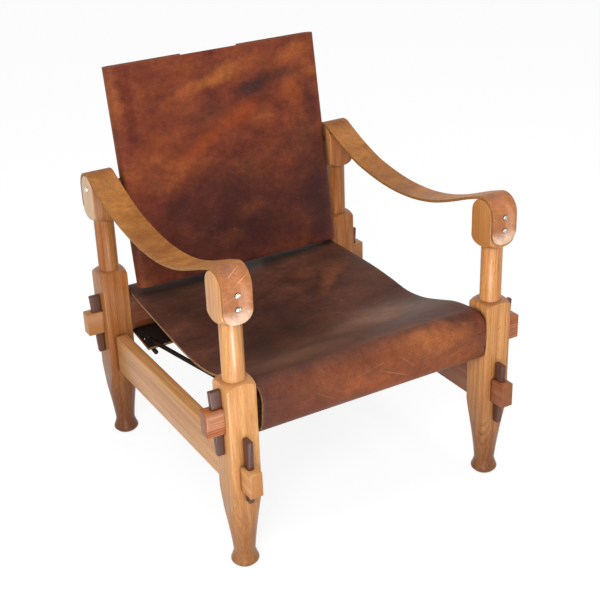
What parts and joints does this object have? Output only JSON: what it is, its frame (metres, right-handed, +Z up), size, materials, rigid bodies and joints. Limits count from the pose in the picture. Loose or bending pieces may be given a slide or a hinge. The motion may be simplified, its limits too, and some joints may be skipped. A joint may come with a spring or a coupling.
{
  "type": "campaign chair",
  "caption": "Knock-down lounge chair: turned oak posts with wedged through tenons, slung saddle leather seat, swinging laced leather back and leather strap arms.",
  "frame": {"origin": "on the floor, midway between the four posts", "axes": "+X from the front left post to the front right post, +Y backward, +Z up; the seat faces -Y"},
  "size_m": [0.598, 0.6, 0.6962],
  "materials": {
    "oak": "oiled oak, turned and planed, satin",
    "wedge_wood": "dark red-brown hardwood, worn edges",
    "seat_leather": "worn saddle leather, dark brown with a cognac front roll",
    "back_leather": "mottled red-brown saddle leather",
    "strap_leather": "natural tan saddle leather",
    "lace": "near-black leather thong and washers",
    "nickel": "nickel-plated, slightly dulled"
  },
  "bodies": {
    "frame": {"post_front_left": "oak", "post_front_right": "oak", "post_rear_left": "oak", "post_rear_right": "oak", "cross_rail_front": "oak", "cross_rail_rear": "oak", "side_rail_left": "oak", "side_rail_right": "oak", "seat_leather": "seat_leather", "seat_lace": "lace", "arm_strap_left": "strap_leather", "arm_strap_right": "strap_leather", "strap_screw_front_left_upper": "nickel", "cup_washer_front_left_upper": "nickel", "strap_screw_front_left_lower": "nickel", "cup_washer_front_left_lower": "nickel", "strap_screw_front_right_upper": "nickel", "cup_washer_front_right_upper": "nickel", "strap_screw_front_right_lower": "nickel", "cup_washer_front_right_lower": "nickel", "strap_screw_rear_left_upper": "nickel", "cup_washer_rear_left_upper": "nickel", "strap_screw_rear_left_lower": "nickel", "cup_washer_rear_left_lower": "nickel", "strap_screw_rear_right_upper": "nickel", "cup_washer_rear_right_upper": "nickel", "strap_screw_rear_right_lower": "nickel", "cup_washer_rear_right_lower": "nickel", "pivot_bolt_left": "nickel", "pivot_spacer_left": "lace", "pivot_bolt_right": "nickel", "pivot_spacer_right": "lace"},
    "backrest": {"back_stile_left": "oak", "back_stile_right": "oak", "back_leather": "back_leather", "back_lace": "lace"},
    "wedge_front_left_cross": {"wedge_front_left_cross": "wedge_wood"},
    "wedge_front_left_side": {"wedge_front_left_side": "wedge_wood"},
    "wedge_front_right_cross": {"wedge_front_right_cross": "wedge_wood"},
    "wedge_front_right_side": {"wedge_front_right_side": "wedge_wood"},
    "wedge_rear_left_cross": {"wedge_rear_left_cross": "wedge_wood"},
    "wedge_rear_left_side": {"wedge_rear_left_side": "wedge_wood"},
    "wedge_rear_right_cross": {"wedge_rear_right_cross": "wedge_wood"},
    "wedge_rear_right_side": {"wedge_rear_right_side": "wedge_wood"}
  },
  "joints": [
    {"name": "backrest_tilt", "type": "hinge", "parent": "frame", "child": "backrest", "pos_m": [0, 0.243, 0.4945], "axis": [-1, 0, 0], "range_deg": [-9, 20]},
    {"name": "wedge_front_left_cross_draw", "type": "slide", "parent": "frame", "child": "wedge_front_left_cross", "axis": [0, 0, 1], "range_m": [0, 0.08]},
    {"name": "wedge_front_left_side_draw", "type": "slide", "parent": "frame", "child": "wedge_front_left_side", "axis": [0, 0, 1], "range_m": [0, 0.061]},
    {"name": "wedge_front_right_cross_draw", "type": "slide", "parent": "frame", "child": "wedge_front_right_cross", "axis": [0, 0, 1], "range_m": [0, 0.08]},
    {"name": "wedge_front_right_side_draw", "type": "slide", "parent": "frame", "child": "wedge_front_right_side", "axis": [0, 0, 1], "range_m": [0, 0.08]},
    {"name": "wedge_rear_left_cross_draw", "type": "slide", "parent": "frame", "child": "wedge_rear_left_cross", "axis": [0, 0, 1], "range_m": [0, 0.08]},
    {"name": "wedge_rear_left_side_draw", "type": "slide", "parent": "frame", "child": "wedge_rear_left_side", "axis": [0, 0, 1], "range_m": [0, 0.08]},
    {"name": "wedge_rear_right_cross_draw", "type": "slide", "parent": "frame", "child": "wedge_rear_right_cross", "axis": [0, 0, 1], "range_m": [0, 0.08]},
    {"name": "wedge_rear_right_side_draw", "type": "slide", "parent": "frame", "child": "wedge_rear_right_side", "axis": [0, 0, 1], "range_m": [0, 0.08]}
  ]
}
